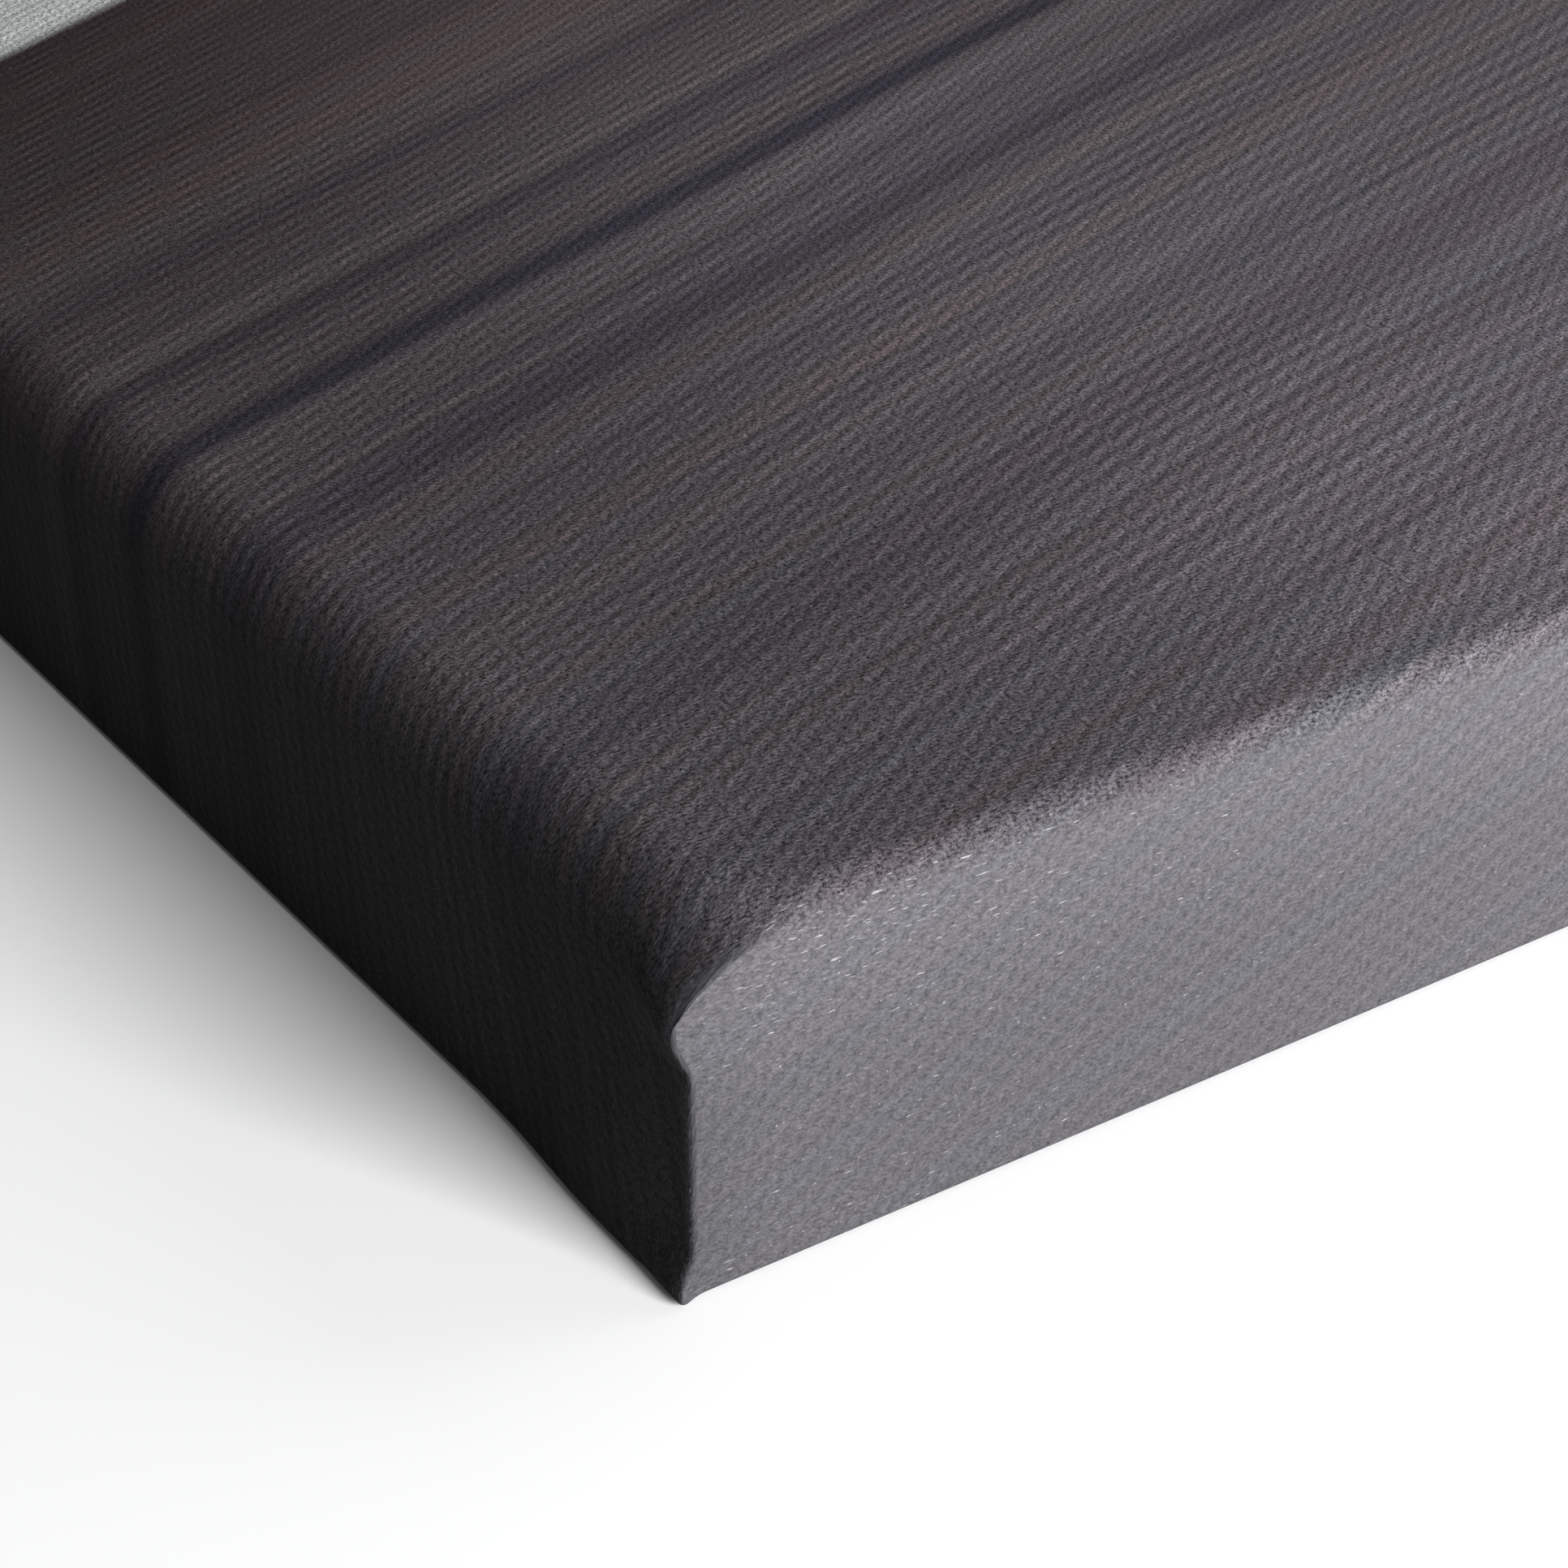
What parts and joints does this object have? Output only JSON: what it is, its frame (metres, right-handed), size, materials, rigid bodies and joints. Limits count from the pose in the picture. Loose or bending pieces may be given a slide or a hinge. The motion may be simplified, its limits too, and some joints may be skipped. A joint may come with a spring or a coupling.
{
  "type": "stretched canvas",
  "caption": "Gallery-wrapped printed canvas on a keyed wooden stretcher frame, lying face up, with sliding corner keys and stapled laps behind.",
  "frame": {"origin": "middle of the back, at the level of the surface that the canvas lies on", "axes": "+Z out of the printed front, +X along the long side, +Y along the short side towards the picture's top edge"},
  "size_m": [0.4, 0.3, 0.02],
  "materials": {
    "printed_canvas": "matt inkjet print on plain-woven canvas",
    "stretcher_wood": "planed softwood, unfinished",
    "key_wood": "sawn hardwood, unfinished",
    "staple_steel": "galvanised wire"
  },
  "bodies": {
    "root": {"canvas": "printed_canvas", "bottom_bar": "stretcher_wood", "right_bar": "stretcher_wood", "top_bar": "stretcher_wood", "left_bar": "stretcher_wood", "bottom_staple_1": "staple_steel", "bottom_staple_2": "staple_steel", "bottom_staple_3": "staple_steel", "bottom_staple_4": "staple_steel", "bottom_staple_5": "staple_steel", "bottom_staple_6": "staple_steel", "bottom_staple_7": "staple_steel", "bottom_staple_8": "staple_steel", "bottom_staple_9": "staple_steel", "right_staple_1": "staple_steel", "right_staple_2": "staple_steel", "right_staple_3": "staple_steel", "right_staple_4": "staple_steel", "right_staple_5": "staple_steel", "right_staple_6": "staple_steel", "right_staple_7": "staple_steel", "top_staple_1": "staple_steel", "top_staple_2": "staple_steel", "top_staple_3": "staple_steel", "top_staple_4": "staple_steel", "top_staple_5": "staple_steel", "top_staple_6": "staple_steel", "top_staple_7": "staple_steel", "top_staple_8": "staple_steel", "top_staple_9": "staple_steel", "left_staple_1": "staple_steel", "left_staple_2": "staple_steel", "left_staple_3": "staple_steel", "left_staple_4": "staple_steel", "left_staple_5": "staple_steel", "left_staple_6": "staple_steel", "left_staple_7": "staple_steel"},
    "bottom_bar_left_key": {"bottom_bar_left_key": "key_wood"},
    "bottom_bar_right_key": {"bottom_bar_right_key": "key_wood"},
    "right_bar_left_key": {"right_bar_left_key": "key_wood"},
    "right_bar_right_key": {"right_bar_right_key": "key_wood"},
    "top_bar_left_key": {"top_bar_left_key": "key_wood"},
    "top_bar_right_key": {"top_bar_right_key": "key_wood"},
    "left_bar_left_key": {"left_bar_left_key": "key_wood"},
    "left_bar_right_key": {"left_bar_right_key": "key_wood"}
  },
  "joints": [
    {"name": "bottom_bar_left_key_slide", "type": "slide", "parent": "root", "child": "bottom_bar_left_key", "axis": [0, 1, 0], "range_m": [-0.002, 0.018]},
    {"name": "bottom_bar_right_key_slide", "type": "slide", "parent": "root", "child": "bottom_bar_right_key", "axis": [0, 1, 0], "range_m": [-0.002, 0.018]},
    {"name": "right_bar_left_key_slide", "type": "slide", "parent": "root", "child": "right_bar_left_key", "axis": [-1, 0, 0], "range_m": [-0.002, 0.018]},
    {"name": "right_bar_right_key_slide", "type": "slide", "parent": "root", "child": "right_bar_right_key", "axis": [-1, 0, 0], "range_m": [-0.002, 0.018]},
    {"name": "top_bar_left_key_slide", "type": "slide", "parent": "root", "child": "top_bar_left_key", "axis": [0, -1, 0], "range_m": [-0.002, 0.018]},
    {"name": "top_bar_right_key_slide", "type": "slide", "parent": "root", "child": "top_bar_right_key", "axis": [0, -1, 0], "range_m": [-0.002, 0.018]},
    {"name": "left_bar_left_key_slide", "type": "slide", "parent": "root", "child": "left_bar_left_key", "axis": [1, 0, 0], "range_m": [-0.002, 0.018]},
    {"name": "left_bar_right_key_slide", "type": "slide", "parent": "root", "child": "left_bar_right_key", "axis": [1, 0, 0], "range_m": [-0.002, 0.018]}
  ]
}
